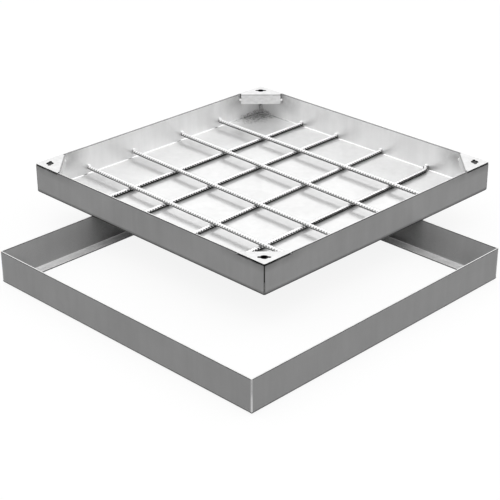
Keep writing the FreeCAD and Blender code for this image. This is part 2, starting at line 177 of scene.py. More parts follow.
# %% Lamp and world
bpy.context.scene.view_settings.view_transform = "Standard"
OVERHEAD_LIGHT = 1.85
LAMP_WIDTH = math.radians(130)
overhead = bpy.data.lights.new("overhead", "SUN")
overhead.energy = OVERHEAD_LIGHT
overhead.angle = LAMP_WIDTH
lamp = bpy.data.objects.new("overhead", overhead)
towards_lamp = Vector((0.0, 0.06, 1.0)).normalized()
lamp.matrix_world = towards_lamp.to_track_quat("Z", "Y").to_matrix().to_4x4()
bpy.context.scene.collection.objects.link(lamp)

WORLD_FILL = 0.28
studio = bpy.data.worlds.new("studio")
studio.use_nodes = True
tree = studio.node_tree
tree.nodes.clear()
level = add(tree, "ShaderNodeMapRange", {"Value": rays_that_see_white(tree), "To Min": WORLD_FILL})
glow = add(tree, "ShaderNodeBackground", {"Color": colour("#ffffff"), "Strength": level})
add(tree, "ShaderNodeOutputWorld", {"Surface": glow})
bpy.context.scene.world = studio
card = OVERHEAD_LIGHT * towards_lamp.z / math.pi + WORLD_FILL
print("a white card facing up gets", round(card, 2))

# %% [markdown]
# ## The floor
# The ground is a plain sheet. To the camera and in reflections it is white: there it glows, so
# that it melts into the white world, and the shadow on it takes only part of that away. For the
# light that it throws back up it is mid grey, or the frame under the tray would be too bright.

# %% Make the floor
FLOOR_REACH = 12.0
FLOOR_LEVEL = -0.3 * MM
FLOOR_GLOW = 0.88
ends = (-FLOOR_REACH, FLOOR_REACH)
floor_mesh = bpy.data.meshes.new("studio_floor")
floor_mesh.from_pydata([(x, y, FLOOR_LEVEL) for x in ends for y in ends], [], [(0, 2, 3, 1)])
floor = bpy.data.objects.new("studio_floor", floor_mesh)
bpy.context.scene.collection.objects.link(floor)

# White paper: an even ground that keeps a soft shadow.
paper = bpy.data.materials.new("white_paper")
paper.use_nodes = True
tree = paper.node_tree
tree.nodes.clear()
plain = add(tree, "ShaderNodeBsdfDiffuse", {"Color": colour("#646464")})
shaded = add(tree, "ShaderNodeBsdfDiffuse", {"Color": colour("#6c6c6c")})
glow = add(tree, "ShaderNodeEmission", {"Color": colour("#ffffff"), "Strength": FLOOR_GLOW})
lit = add(tree, "ShaderNodeAddShader", {0: shaded, 1: glow})
mixed = add(tree, "ShaderNodeMixShader", {0: rays_that_see_white(tree), 1: plain, 2: lit})
add(tree, "ShaderNodeOutputMaterial", {"Surface": mixed})
floor_mesh.materials.append(paper)
print("the floor is", 2 * FLOOR_REACH, "m wide")

# %% [markdown]
# ## Zinc on folded sheet: how its materials are built
# Galvanised sheet is steel with a skin of zinc. New zinc is bright and half glossy, and it goes
# dull and grey where it is handled and stored. Inside the tray that is two things at once, a
# metal that mirrors and a matt skin on it, so the metallic value is set part of the way. Outside,
# and on the frame, the skin is thick and matt all over, and the value is zero. The pattern comes
# from noise in real millimetres: slow clouds in the skin, faint upright runs, and a fine grain.
# The sheet is never quite flat either, and a long shallow wave in the bump bends its reflections.

# %% Shared parts of the zinc


def new_metal(name):
    """An empty material's tree, and the material."""
    made = bpy.data.materials.new(name)
    made.use_nodes = True
    made.node_tree.nodes.clear()
    return made, made.node_tree


def tray_axes(tree):
    """Object coordinates turned into the tray's own axes."""
    back = to_scene.inverted()
    place = add(tree, "ShaderNodeTexCoord").outputs["Object"]
    return add(tree, "ShaderNodeMapping", {"Vector": place, "Location": back.translation,
                                           "Rotation": back.to_euler()})


def blots(tree, place, size_mm, detail=3.0, stretch=(1.0, 1.0, 1.0)):
    """Noise with blots about size_mm across, drawn out along an axis where stretch is small."""
    drawn = add(tree, "ShaderNodeMapping", {"Vector": place, "Scale": stretch})
    return add(tree, "ShaderNodeTexNoise", {"Vector": drawn, "Scale": 1 / (size_mm * MM),
                                            "Detail": detail, "Roughness": 0.6})


def cloudy_zinc(tree, place, base, cloud_mm, run_mm):
    """Darken a base colour a little by slow clouds and by faint upright runs."""
    clouds = blots(tree, place, cloud_mm, 4.0)
    runs = blots(tree, place, run_mm, 3.0, (1, 1, 0.1))
    for pattern, dark in ((clouds, "#f4f4f4"), (runs, "#f8f8f8")):
        tone = add(tree, "ShaderNodeValToRGB", {"Fac": pattern}, stops=[
            (0.3, "#ffffff"), (0.7, dark)])
        base = add(tree, "ShaderNodeMix", {"Factor": 1.0, "A": base, "B": tone},
                   data_type="RGBA", blend_type="MULTIPLY")
    return base


def wavy_sheet(tree, place, wave_mm=110, wave_depth=0.5, grain_depth=0.02):
    """The normal of a sheet with a long shallow wave and a fine grain."""
    slow = add(tree, "ShaderNodeBump", {"Strength": 1.0, "Distance": wave_depth * MM,
                                        "Height": blots(tree, place, wave_mm, 1.0)})
    return add(tree, "ShaderNodeBump", {"Strength": 1.0, "Distance": grain_depth * MM,
                                        "Height": blots(tree, place, 1.5, 2.0), "Normal": slow})


def finish_metal(tree, base, roughness, normal, metallic):
    """Join colour, roughness and normal in the shader."""
    shader = add(tree, "ShaderNodeBsdfPrincipled", {"Base Color": base, "Roughness": roughness,
                                                    "Normal": normal, "Metallic": metallic})
    add(tree, "ShaderNodeOutputMaterial", {"Surface": shader})


# %% [markdown]
# A fold shows in which way its faces look. Their tilt, from 0 for a face that looks down through
# 0.5 for an upright one to 1 for one that looks up, picks their colour from a ramp, and that is how
# light and shade are painted on the folds and bars. A second function finds the upright faces,
# which the shear cut, and a third tells a wall's two sides.

# %% How far a face looks up


def tilt(tree):
    """How far a face looks up, from 0 to 1, and its normal."""
    normal = add(tree, "ShaderNodeNewGeometry").outputs["Normal"]
    upwards = add(tree, "ShaderNodeSeparateXYZ", {0: normal}).outputs["Z"]
    return add(tree, "ShaderNodeMapRange", {"Value": upwards, "From Min": -1.0}), normal


def upright(tree, up_tilt):
    """One for faces that look sideways, and zero for those that look up or down."""
    return add(tree, "ShaderNodeValToRGB", {"Fac": up_tilt}, stops=[
        (0.4, "#000000"), (0.47, "#ffffff"), (0.53, "#ffffff"), (0.6, "#000000")])


def inner_side(tree, place, normal):
    """One for faces that look towards the tray's middle, or up, and zero for the others."""
    inward = add(tree, "ShaderNodeVectorMath", {
        0: place, 1: (-1 / TRAY_HALF, -1 / TRAY_HALF, 0.0), 2: (0.0, 0.0, 1.0),
    }, operation="MULTIPLY_ADD")
    facing = add(tree, "ShaderNodeVectorMath", {0: normal, 1: inward}, operation="DOT_PRODUCT")
    return add(tree, "ShaderNodeMapRange", {"Value": facing, "From Min": -0.1, "From Max": 0.1})


# %% [markdown]
# ## The tray's sheet
# The tray is bright inside and dull outside, so the material asks which way a face looks: towards
# the tray's middle or away from it. Bending polishes the inside of a fold. Outside, the faces of a
# fold that look down are painted nearly black, as painted shade under the fold.

# %% Bright zinc inside, dull zinc outside
# Galvanised sheet: pale silver with soft clouds inside, flat mid grey outside, with painted shade
# at the outer folds and near and under the lifting corners.
tray_zinc, tree = new_metal("galvanised_sheet_bright_inside")
here = tray_axes(tree)
up_tilt, normal = tilt(tree)
inside = inner_side(tree, here, normal)
# Painted shade: outside, the faces of the fold that look down are nearly black.
outer_tone_and_fold_shade = add(tree, "ShaderNodeValToRGB", {"Fac": up_tilt}, stops=[
    (0.0, "#8c8c8c"), (0.06, "#242424"), (0.44, "#303030"), (0.48, "#cecece")])
inner_tone = add(tree, "ShaderNodeValToRGB", {"Fac": up_tilt}, stops=[
    (0.9, "#ffffff"), (0.99, "#f8f8f8")])
base = add(tree, "ShaderNodeMix", {"Factor": inside, "A": outer_tone_and_fold_shade, "B": inner_tone},
           data_type="RGBA")
base = cloudy_zinc(tree, here, base, 60, 12)

# %% [markdown]
# The top edge is sheared, and the shear leaves a thin dark line along it. The walls meet in open
# seams at the corners, where one looks into the dark between them. A place is on a seam where its
# two distances from the tray's middle are the same.

# %% Sheared edge and open seams
SHEAR_FROM, SHEAR_TO = 44.2 * MM, 44.9 * MM
SEAM_DARK, SEAM_CLEAR, SEAM_WALL = 0.8 * MM, 1.8 * MM, 232 * MM
height = add(tree, "ShaderNodeSeparateXYZ", {0: here}).outputs["Z"]
near_top = add(tree, "ShaderNodeMapRange", {"Value": height, "From Min": SHEAR_FROM,
                                            "From Max": SHEAR_TO})
dark_edge_lines = add(tree, "ShaderNodeMath", {0: upright(tree, up_tilt), 1: near_top},
              operation="MULTIPLY")
sheared_tone = add(tree, "ShaderNodeMix", {"Factor": inside, "A": colour("#303030"),
                                           "B": colour("#9a9a9a")}, data_type="RGBA")
base = add(tree, "ShaderNodeMix", {"Factor": dark_edge_lines, "A": base, "B": sheared_tone},
           data_type="RGBA")

from_middle = add(tree, "ShaderNodeVectorMath", {0: here}, operation="ABSOLUTE")
aside = add(tree, "ShaderNodeSeparateXYZ", {0: from_middle}).outputs
off_diagonal = add(tree, "ShaderNodeMath", {0: aside["X"], 1: aside["Y"]}, operation="SUBTRACT")
off_diagonal = add(tree, "ShaderNodeMath", {0: off_diagonal}, operation="ABSOLUTE")
on_seam = add(tree, "ShaderNodeMapRange", {"Value": off_diagonal, "From Min": SEAM_DARK,
                                           "From Max": SEAM_CLEAR, "To Min": 1.0, "To Max": 0.0})
at_wall = add(tree, "ShaderNodeMath", {0: aside["X"], 1: SEAM_WALL}, operation="GREATER_THAN")
seam = add(tree, "ShaderNodeMath", {0: on_seam, 1: at_wall}, operation="MULTIPLY")
base = add(tree, "ShaderNodeMix", {"Factor": seam, "A": base, "B": colour("#2c2c2c")},
           data_type="RGBA")

# %% [markdown]
# Heat marks: each corner seam was welded from inside, and the zinc of the floor is burnt there to
# a mottled grey patch, longer one way than the other. Its edge is the distance from its middle,
# upset by noise.

# %% Heat marks in the corners
PATCH_MIDDLE = (225, 216, 0)
PATCH_REACH = (30, 44, 9)
from_patch = add(tree, "ShaderNodeVectorMath", {
    0: from_middle, 1: [1 / (reach * MM) for reach in PATCH_REACH],
    2: [-middle / reach for middle, reach in zip(PATCH_MIDDLE, PATCH_REACH)],
}, operation="MULTIPLY_ADD")
from_patch = add(tree, "ShaderNodeVectorMath", {0: from_patch}, operation="LENGTH")
ragged = add(tree, "ShaderNodeMath", {0: blots(tree, here, 7, 5.0), 1: 1.7, 2: from_patch},
             operation="MULTIPLY_ADD")
burnt_part = add(tree, "ShaderNodeMapRange", {"Value": ragged, "From Min": 1.25, "From Max": 1.85,
                                              "To Min": 0.85, "To Max": 0.0})
burnt_tone = add(tree, "ShaderNodeValToRGB", {"Fac": blots(tree, here, 2.5)}, stops=[
    (0.42, "#686868"), (0.6, "#d8d8d8")])
burnt_part = add(tree, "ShaderNodeMath", {0: burnt_part, 1: inside}, operation="MULTIPLY")
base = add(tree, "ShaderNodeMix", {"Factor": burnt_part, "A": base, "B": burnt_tone},
           data_type="RGBA")

# %% [markdown]
# Behind each lifting corner's flange the walls lie in the shade under the plate, and above 31 mm
# that shade is painted on. It shows through the narrow slits at the flange's ends and through the
# keyholes. The sum of a place's two distances from the middle tells how near the tip it is, so one
# ramp over it serves all four corners: dark at the slits, pale beside the keyhole, dark again in
# the tip.

# %% Painted shade under the lifting corners
FLANGE_AT, TIP_AT = 420 * MM, 470 * MM
UNDER_PLATE_FROM, UNDER_PLATE_FULL = 31 * MM, 35 * MM
corner_nearness = add(tree, "ShaderNodeMath", {0: aside["X"], 1: aside["Y"]}, operation="ADD")
behind_flange = add(tree, "ShaderNodeMapRange", {"Value": corner_nearness, "From Min": FLANGE_AT,
                                                 "From Max": FLANGE_AT + 2 * MM})
high_up = add(tree, "ShaderNodeMapRange", {"Value": height, "From Min": UNDER_PLATE_FROM,
                                           "From Max": UNDER_PLATE_FULL})
under_plate_shade_mask = behind_flange
for mask in (high_up, inside):
    under_plate_shade_mask = add(tree, "ShaderNodeMath", {0: under_plate_shade_mask, 1: mask}, operation="MULTIPLY")
way_to_tip = add(tree, "ShaderNodeMapRange", {"Value": corner_nearness, "From Min": FLANGE_AT,
                                              "From Max": TIP_AT})
under_plate_shade = add(tree, "ShaderNodeValToRGB", {"Fac": way_to_tip}, stops=[
    (0.2, "#242424"), (0.34, "#a0a0a0"), (0.56, "#a0a0a0"), (0.7, "#242424")])
# Painted shade: the walls under each lifting corner are darkened.
base = add(tree, "ShaderNodeMix", {"Factor": under_plate_shade_mask, "A": base, "B": under_plate_shade}, data_type="RGBA")

# %% [markdown]
# Outside, painted shade darkens the foot of the wall and fades a little way up from the fold. A
# band of painted shade runs under the edge of each lifting corner, where the plate shades the wall,
# and its lower edge wanders.

# %% Painted shade below the plates' edges and at the foot
BAND_FROM, BAND_FULL, BAND_WANDER = 43.6 * MM, 44.8 * MM, 3 * MM
FOLD_DARK, FOLD_CLEAR = 3.5 * MM, 7 * MM
outer_shade_edge = add(tree, "ShaderNodeMath", {0: blots(tree, here, 12), 1: BAND_WANDER, 2: height},
                operation="MULTIPLY_ADD")
outer_shade = add(tree, "ShaderNodeMapRange", {"Value": outer_shade_edge, "From Min": BAND_FROM,
                                        "From Max": BAND_FULL})
outside = add(tree, "ShaderNodeMapRange", {"Value": inside, "To Min": 1.0, "To Max": 0.0})
for mask in (outside, behind_flange):
    outer_shade = add(tree, "ShaderNodeMath", {0: outer_shade, 1: mask}, operation="MULTIPLY")
foot_shade = add(tree, "ShaderNodeMapRange", {"Value": height, "From Min": FOLD_DARK,
                                            "From Max": FOLD_CLEAR, "To Min": 0.5, "To Max": 0.0})
foot_shade = add(tree, "ShaderNodeMath", {0: foot_shade, 1: outside}, operation="MULTIPLY")
outer_shade = add(tree, "ShaderNodeMath", {0: outer_shade, 1: foot_shade}, operation="MAXIMUM")
# Painted shade: outside, the wall is darkened below the plates' edges and at its foot.
base = add(tree, "ShaderNodeMix", {"Factor": outer_shade, "A": base, "B": colour("#2c2c2c")},
           data_type="RGBA")

# %% [markdown]
# Near the lifting corners the walls are darker in patches. Inside, that is painted shade of the
# plate, strongest just before the flange and fading down the wall. Outside, the wall is darker in
# patches below the painted band under the plate's edge.

# %% Painted shade and darker patches near the lifting corners
CORNER_DARK_FROM, CORNER_DARK_TO = 370 * MM, 440 * MM
INNER_FROM, INNER_FULL = 12 * MM, 36 * MM
OUTER_FROM, OUTER_FULL = 32 * MM, 44 * MM
towards_tip = add(tree, "ShaderNodeMapRange", {"Value": corner_nearness, "From Min": CORNER_DARK_FROM,
                                               "From Max": CORNER_DARK_TO})
inner_corner_shade = add(tree, "ShaderNodeValToRGB", {"Fac": towards_tip}, stops=[
    (0.0, "#000000"), (0.57, "#d8d8d8"), (0.66, "#d8d8d8"), (0.86, "#202020")])
under_rim = add(tree, "ShaderNodeMapRange", {"Value": height, "From Min": INNER_FROM,
                                             "From Max": INNER_FULL})
for mask in (under_rim, inside):
    inner_corner_shade = add(tree, "ShaderNodeMath", {0: inner_corner_shade, 1: mask}, operation="MULTIPLY")
outer_corner_dark = add(tree, "ShaderNodeMapRange", {"Value": height, "From Min": OUTER_FROM,
                                              "From Max": OUTER_FULL, "To Max": 0.6})
for mask in (outside, towards_tip):
    outer_corner_dark = add(tree, "ShaderNodeMath", {0: outer_corner_dark, 1: mask}, operation="MULTIPLY")
corner_darkening = add(tree, "ShaderNodeMath", {0: inner_corner_shade, 1: outer_corner_dark}, operation="ADD")
patchy = add(tree, "ShaderNodeMapRange", {"Value": blots(tree, here, 22), "From Min": 0.35,
                                          "From Max": 0.6, "To Min": 0.5})
corner_darkening = add(tree, "ShaderNodeMath", {0: corner_darkening, 1: patchy}, operation="MULTIPLY")
corner_dark_tone = add(tree, "ShaderNodeMix", {"Factor": inside, "A": colour("#686868"),
                                        "B": colour("#a0a0a0")}, data_type="RGBA")
# Painted shade inside, and darker patches outside, near the lifting corners.
base = add(tree, "ShaderNodeMix", {"Factor": corner_darkening, "A": base, "B": corner_dark_tone}, data_type="RGBA")

# %% [markdown]
# Inside, the floor mirrors the bars in a soft blur, and the walls and folds are brighter but less
# sharp. Outside, the dull skin hardly mirrors at all. So roughness and metallic both follow which
# side a face is on and how far it looks up.

# %% Gloss of the tray
inner_polish = add(tree, "ShaderNodeMapRange", {"Value": up_tilt, "From Min": 0.55, "From Max": 0.9,
                                                "To Min": 0.42, "To Max": 0.2})
roughness = add(tree, "ShaderNodeMapRange", {"Value": inside, "To Min": 0.5,
                                             "To Max": inner_polish})
roughness = add(tree, "ShaderNodeMath", {0: blots(tree, here, 40), 1: 0.06, 2: roughness},
                operation="MULTIPLY_ADD")
inner_shine = add(tree, "ShaderNodeMapRange", {"Value": up_tilt, "From Min": 0.95, "From Max": 0.99,
                                               "To Min": 0.8, "To Max": 0.28})
metallic = add(tree, "ShaderNodeMapRange", {"Value": inside, "To Min": 0.0, "To Max": inner_shine})
finish_metal(tree, base, roughness, wavy_sheet(tree, here), metallic)
print("tray material:", len(tree.nodes), "nodes")

# %% [markdown]
# ## The frame's sheet
# The frame is the same sheet, but duller, and it stays dull inside. Its ledge, on which the tray
# will sit, is brushed bright, and painted brighter still as painted light.

# %% Dull zinc
# Galvanised sheet, dull: flat mid grey, with a bright ledge, and with painted shade at the folds,
# the foot and where the frame is closed in.
frame_zinc, tree = new_metal("galvanised_sheet_dull")
place = add(tree, "ShaderNodeTexCoord").outputs["Object"]
up_tilt = tilt(tree)[0]
# Painted shade: the faces of the folds that look down are dark grey.
base = add(tree, "ShaderNodeValToRGB", {"Fac": up_tilt}, stops=[
    (0.0, "#8c8c8c"), (0.06, "#484848"), (0.44, "#484848"), (0.48, "#c8c8c8")])
base = cloudy_zinc(tree, place, base, 70, 14)

# %% [markdown]
# The frame looks darkest where it is most closed in, below the tray. The white ground of this
# studio would light those places too much, so the skin's colour is lowered there, by how open a
# place is within 120 mm.

# %% Dark where the frame is closed in
OPEN_WITHIN = 120 * MM
openness = add(tree, "ShaderNodeAmbientOcclusion", {"Distance": OPEN_WITHIN}, samples=8)
openness = openness.outputs["AO"]
closed_in_shade = add(tree, "ShaderNodeMapRange", {"Value": openness, "From Min": 0.15, "From Max": 0.5,
                                          "To Min": 0.05})
# Painted shade: the colour goes towards near black where the frame is closed in.
base = add(tree, "ShaderNodeMix", {"Factor": closed_in_shade, "A": colour("#101010"), "B": base},
           data_type="RGBA")

# %% [markdown]
# The ledge is brushed along its length, and it is painted nearly white: partly its brushed finish,
# partly painted light that the zinc of the walls mirrors down onto it. The sheared top edge is
# dark, and the foot of each upright face is painted dark, as painted shade along the ground and
# over the flange's cut edge.

# %% Brushed ledge with painted light, and dark edges
SHEAR_FROM, SHEAR_TO, FOOT = 46.5 * MM, 47.2 * MM, 1.5 * MM
brushed = add(tree, "ShaderNodeValToRGB", {"Fac": blots(tree, place, 2, 3.0, (0.1, 0.1, 1))},
              stops=[(0.35, "#f0f0f0"), (0.55, "#ffffff")])
on_ledge = add(tree, "ShaderNodeMapRange", {"Value": up_tilt, "From Min": 0.53, "From Max": 0.6})
# Painted light: the ledge is painted nearly white.
base = add(tree, "ShaderNodeMix", {"Factor": on_ledge, "A": base, "B": brushed}, data_type="RGBA")
height = add(tree, "ShaderNodeSeparateXYZ", {0: place}).outputs["Z"]
near_top = add(tree, "ShaderNodeMapRange", {"Value": height, "From Min": SHEAR_FROM,
                                            "From Max": SHEAR_TO})
at_foot = add(tree, "ShaderNodeMath", {0: height, 1: FOOT}, operation="LESS_THAN")
at_edge = add(tree, "ShaderNodeMath", {0: near_top, 1: at_foot}, operation="MAXIMUM")
dark_edge_lines = add(tree, "ShaderNodeMath", {0: upright(tree, up_tilt), 1: at_edge},
              operation="MULTIPLY")
# Painted shade at the foot of each upright face; the top edge is dark cut steel.
base = add(tree, "ShaderNodeMix", {"Factor": dark_edge_lines, "A": base, "B": colour("#404040")},
           data_type="RGBA")
roughness = add(tree, "ShaderNodeMapRange", {"Value": blots(tree, place, 40), "To Min": 0.38,
                                             "To Max": 0.5})
finish_metal(tree, base, roughness, wavy_sheet(tree, place), 0.0)

# %% [markdown]
# ## The dressed corner welds
# Each corner of the frame is welded on the outside and ground off. Grinding leaves fine bright
# scratches across the corner. The lower half was ground further, so it is the brightest.

# %% Ground weld
# Ground weld: a stripe a little paler than the sheet, finely scratched.
dressed_weld, tree = new_metal("ground_weld")
GROUND_FULL, GROUND_END, RAGGED_BY = 24 * MM, 32 * MM, 6 * MM
place = add(tree, "ShaderNodeTexCoord").outputs["Object"]
scratches = blots(tree, place, 1.2, 3.0, (0.2, 0.2, 1.0))
height = add(tree, "ShaderNodeSeparateXYZ", {0: place}).outputs["Z"]
ragged = add(tree, "ShaderNodeMath", {0: scratches, 1: RAGGED_BY, 2: height},
             operation="MULTIPLY_ADD")
low_half = add(tree, "ShaderNodeMapRange", {"Value": ragged, "From Min": GROUND_FULL,
                                            "From Max": GROUND_END, "To Min": 0.7, "To Max": 0.0})
base = add(tree, "ShaderNodeValToRGB", {"Fac": scratches}, stops=[
    (0.3, "#c0c0c0"), (0.7, "#dcdcdc")])
base = add(tree, "ShaderNodeMix", {"Factor": low_half, "A": base, "B": colour("#f8f8f8")},
           data_type="RGBA")
ground = add(tree, "ShaderNodeBump", {"Strength": 1.0, "Distance": 0.03 * MM, "Height": scratches})
roughness = add(tree, "ShaderNodeMapRange", {"Value": scratches, "To Min": 0.3, "To Max": 0.55})
finish_metal(tree, base, roughness, ground, 0.4)

# %% [markdown]
# ## The lifting corners
# These plates are cut from cleaner sheet: almost white on top, with faint brush marks. The fold is
# painted a little darker, as painted shade. The sheared edges and the sides of the keyhole are
# nearly black: dark cut steel, with the painted shade of the gaps and of the hole on it. The rear
# of the flange and the underside, in the shade under the plate, are painted nearly black as painted
# shade.

# %% Brushed plate
# Brushed galvanised plate: the whitest sheet, drawn sharply by its black cut edges, which partly
# carry painted shade.
plate_zinc, tree = new_metal("galvanised_plate_brushed")
PLATE_FROM = 44.4 * MM
here = tray_axes(tree)
up_tilt, normal = tilt(tree)
# Painted shade: the fold is darker, and faces that look down are dark grey.
base = add(tree, "ShaderNodeValToRGB", {"Fac": up_tilt}, stops=[
    (0.1, "#4a4a4a"), (0.4, "#6a6a6a"), (0.49, "#ffffff"), (0.52, "#ffffff"), (0.6, "#b0b0b0"),
    (0.9, "#b0b0b0"), (0.98, "#ececec")])
brushed = add(tree, "ShaderNodeValToRGB", {"Fac": blots(tree, here, 4, 4.0, (0.5, 0.5, 1))},
              stops=[(0.35, "#ffffff"), (0.7, "#eeeeee")])
base = add(tree, "ShaderNodeMix", {"Factor": 1.0, "A": base, "B": brushed},
           data_type="RGBA", blend_type="MULTIPLY")
height = add(tree, "ShaderNodeSeparateXYZ", {0: here}).outputs["Z"]
in_plate = add(tree, "ShaderNodeMath", {0: height, 1: PLATE_FROM}, operation="GREATER_THAN")
cut_edge_and_shade = add(tree, "ShaderNodeMath", {0: upright(tree, up_tilt), 1: in_plate},
               operation="MULTIPLY")
# Nearly black: dark cut steel, with painted shade in the gaps and the keyhole.
base = add(tree, "ShaderNodeMix", {"Factor": cut_edge_and_shade, "A": base, "B": colour("#242424")},
           data_type="RGBA")
inside = inner_side(tree, here, normal)
# Painted shade: the flange's rear and the plate's underside are nearly black.
base = add(tree, "ShaderNodeMix", {"Factor": inside, "A": colour("#1c1c1c"), "B": base},
           data_type="RGBA")

# %% [markdown]
# Around the keyhole a thin dark rim is painted on the top, as painted shade where the punched edge
# rolls down into the hole. The distance to the hole's outline, a disc and a slot across it, gives
# that rim.

# %% Painted shade around the keyhole
HOLE_RADIUS, SLOT_HALF_WIDTH, SLOT_REACH = 5.0 * MM, 1.8 * MM, 6.7 * MM
HOLE_SETBACK = 21.0 * MM
RIM_DARK, RIM_CLEAR = 0.3 * MM, 0.9 * MM
DIAGONAL = math.sqrt(0.5)
from_middle = add(tree, "ShaderNodeVectorMath", {0: here}, operation="ABSOLUTE")
along = add(tree, "ShaderNodeVectorMath", {0: from_middle, 1: (-DIAGONAL, -DIAGONAL, 0.0)},
            operation="DOT_PRODUCT")
along = add(tree, "ShaderNodeMath", {0: along, 1: 2 * TRAY_HALF * DIAGONAL - HOLE_SETBACK},
            operation="ADD")
across = add(tree, "ShaderNodeVectorMath", {0: from_middle, 1: (DIAGONAL, -DIAGONAL, 0.0)},
             operation="DOT_PRODUCT")
across = add(tree, "ShaderNodeMath", {0: across}, operation="ABSOLUTE")
past_slot = add(tree, "ShaderNodeMath", {0: across, 1: SLOT_REACH}, operation="SUBTRACT")
past_slot = add(tree, "ShaderNodeMath", {0: past_slot, 1: 0.0}, operation="MAXIMUM")
gaps = []
for sideways, size in ((across, HOLE_RADIUS), (past_slot, SLOT_HALF_WIDTH)):
    reach = add(tree, "ShaderNodeCombineXYZ", {"X": along, "Y": sideways})
    reach = add(tree, "ShaderNodeVectorMath", {0: reach}, operation="LENGTH")
    gaps.append(add(tree, "ShaderNodeMath", {0: reach, 1: size}, operation="SUBTRACT"))
gap = add(tree, "ShaderNodeMath", {0: gaps[0], 1: gaps[1]}, operation="MINIMUM")
keyhole_shade_rim = add(tree, "ShaderNodeMapRange", {"Value": gap, "From Min": RIM_DARK, "From Max": RIM_CLEAR,
                                       "To Min": 1.0, "To Max": 0.0})
# Painted shade: a thin dark rim around the keyhole.
base = add(tree, "ShaderNodeMix", {"Factor": keyhole_shade_rim, "A": base, "B": colour("#242424")},
           data_type="RGBA")

# %% [markdown]
# The plate mirrors most in its upright flange. Its top is brushed and duller.

# %% Gloss of the plate
roughness = add(tree, "ShaderNodeMapRange", {"Value": blots(tree, here, 18), "To Min": 0.28,
                                             "To Max": 0.45})
metallic = add(tree, "ShaderNodeMapRange", {"Value": up_tilt, "From Min": 0.4, "From Max": 0.49,
                                            "To Min": 0.1, "To Max": 0.8})
metallic = add(tree, "ShaderNodeMapRange", {"Value": up_tilt, "From Min": 0.9, "From Max": 0.98,
                                            "To Min": metallic, "To Max": 0.4})
finish_metal(tree, base, roughness, wavy_sheet(tree, here, 40, 0.1), metallic)

# %% [markdown]
# ## The bars
# The bars are ribbed reinforcing steel, dipped in zinc with the tray. Their light and shade is
# painted on: light catches their tops, so the tops are painted white, and the flanks and undersides
# are painted dark, as painted shade. The ribs carry a painted highlight of their own, in a lighter
# finish. The lower bars lie on the floor, and their flanks are painted dark between white ribs. The
# upper bars stand free in the light, and only their undersides are painted dark. A bar has no edge
# at which a new finish could begin, so its colour follows how far its surface looks up. What is
# dark is rougher, too.

# %% Painted light and shade on the bars


def bar_painted_light(name, stops):
    """The zinc of a bar, with painted light and shade from its underside to its top."""
    made, tree = new_metal(name)
    here = tray_axes(tree)
    up_tilt = tilt(tree)[0]
    patches = blots(tree, here, 9, 4.0)
    uneven = add(tree, "ShaderNodeMath", {0: patches, 1: 0.12, 2: up_tilt},
                 operation="MULTIPLY_ADD")
    # Painted light and shade: the colour follows how far the surface looks up.
    base = add(tree, "ShaderNodeValToRGB", {"Fac": uneven}, stops=stops)
    skin = add(tree, "ShaderNodeBump", {"Strength": 1.0, "Distance": 0.05 * MM,
                                        "Height": blots(tree, here, 1.2)})
    roughness = add(tree, "ShaderNodeMapRange", {"Value": base, "To Min": 0.8, "To Max": 0.35})
    finish_metal(tree, base, roughness, skin, 0.5)
    return made


# Galvanised ribbed bar, lower layer: painted light, a white line along the top of a flank painted
# nearly black as shade.
lower_bar_painted_light = bar_painted_light("galvanised_bar_painted_shade_flank", [(0.85, "#0c0c0c"), (0.93, "#ffffff")])
# Galvanised rib, lower layer: painted highlight, white teeth in that painted dark flank.
lower_rib_painted_light = bar_painted_light("galvanised_rib_painted_light_lower", [(0.46, "#121212"), (0.56, "#ffffff")])
# Galvanised ribbed bar, upper layer: painted light, white above, and painted shade as a dark line
# along the underside.
upper_bar_painted_light = bar_painted_light("galvanised_bar_painted_shade_underside", [
    (0.4, "#080808"), (0.48, "#787878"), (0.8, "#9c9c9c"), (0.97, "#e8e8e8")])
# Galvanised rib, upper layer: painted highlight, pale to far down, so that this bar reads as a
# light one.
upper_rib_painted_light = bar_painted_light("galvanised_rib_painted_light_upper", [(0.34, "#101010"), (0.46, "#f0f0f0"),
                                                     (0.6, "#ffffff")])

# %% [markdown]
# ## Weld metal
# The beads are silvery where they stand out, with darker flecks of scale between the ripples. In
# the foot of the corner seams they lie in the heat mark, and are as grey as it is.

# %% Weld metal


def weld_finish(name, dark, light):
    """Weld metal whose flecks go from dark to light."""
    made, tree = new_metal(name)
    flecks = blots(tree, tray_axes(tree), 1.8, 4.0)
    base = add(tree, "ShaderNodeValToRGB", {"Fac": flecks}, stops=[(0.32, dark), (0.5, light)])
    lumps = add(tree, "ShaderNodeBump", {"Strength": 1.0, "Distance": 0.15 * MM, "Height": flecks})
    roughness = add(tree, "ShaderNodeMapRange", {"Value": flecks, "To Min": 0.55, "To Max": 0.3})
    finish_metal(tree, base, roughness, lumps, 0.6)
    return made


# Weld bead: a bright lumpy spot. Scaled bead: the same, grey in the heat mark. Seam root: nearly
# black, as painted shade, the dark line in a seam.
weld_metal = weld_finish("weld_bead", "#d8d8d8", "#ffffff")
scaled_weld = weld_finish("weld_bead_scaled", "#707070", "#d0d0d0")
# Painted shade: the seam roots are nearly black.
seam_root_shade = weld_finish("weld_root_painted_shade", "#141414", "#2c2c2c")

# %% [markdown]
# ## Running a tree and keeping its result
# The ribs and the ripples repeat along lines, so Geometry Nodes place them. The base of each is
# a mesh of bare edges: a bar's axis, or the run of a weld. The tree ends in Realize Instances and
# Set Material, because the exported model drops instances. The result is kept as a plain mesh.

# %% Lines in, plain mesh out


